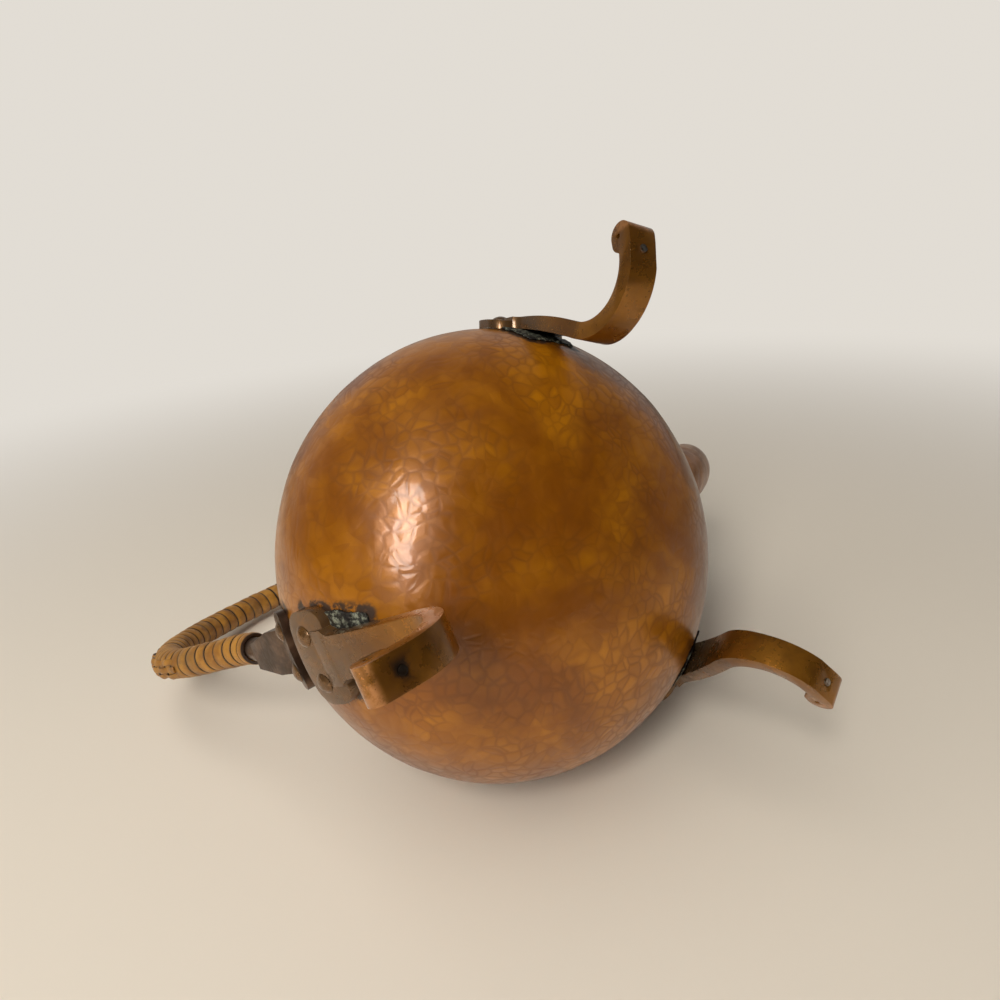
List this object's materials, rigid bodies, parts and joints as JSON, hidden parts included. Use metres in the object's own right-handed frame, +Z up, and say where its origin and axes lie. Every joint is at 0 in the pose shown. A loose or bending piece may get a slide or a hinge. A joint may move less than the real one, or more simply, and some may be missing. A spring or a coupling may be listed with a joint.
{
  "type": "tea kettle",
  "caption": "Round hammered kettle on strap legs, with a horn spout, a hinged lid and a cane-wrapped bow handle.",
  "frame": {"origin": "middle of the body's upright axis, on the plane the feet stand on", "axes": "+Z up, +X towards the spout, the lid opens about -Y"},
  "size_m": [0.2747, 0.1741, 0.2802],
  "materials": {
    "copper": "aged hammered copper, brown patina",
    "solder": "dull grey tin solder",
    "steel": "worn steel",
    "cane": "aged rattan",
    "turned_wood": "dark turned wood"
  },
  "bodies": {
    "kettle": {"body_shell": "copper", "neck_collar": "copper", "spout": "copper", "spout_solder": "solder", "leg_rear": "copper", "leg_left": "copper", "leg_right": "copper", "leg_rear_rivets": "copper", "leg_left_rivets": "copper", "leg_right_rivets": "copper", "leg_rear_solder": "solder", "leg_left_solder": "solder", "leg_right_solder": "solder", "toe_pins": "steel", "handle_bow": "copper", "handle_rear_rivets": "copper", "handle_front_rivets": "copper", "cane_wrap": "cane", "cane_runner": "cane", "hinge_body_leaf": "copper", "hinge_body_rivets": "copper", "hinge_pin": "steel"},
    "lid": {"lid_dome": "copper", "lid_bezel": "copper", "hinge_lid_leaf": "copper", "hinge_lid_rivets": "copper", "knob_ferrule": "copper", "lid_knob": "turned_wood", "knob_screw": "steel", "knob_washer": "steel"}
  },
  "joints": [
    {"name": "lid_hinge", "type": "hinge", "parent": "kettle", "child": "lid", "pos_m": [-0.0436, 0, 0.16745], "axis": [0, -1, 0], "range_deg": [0, 100]}
  ]
}
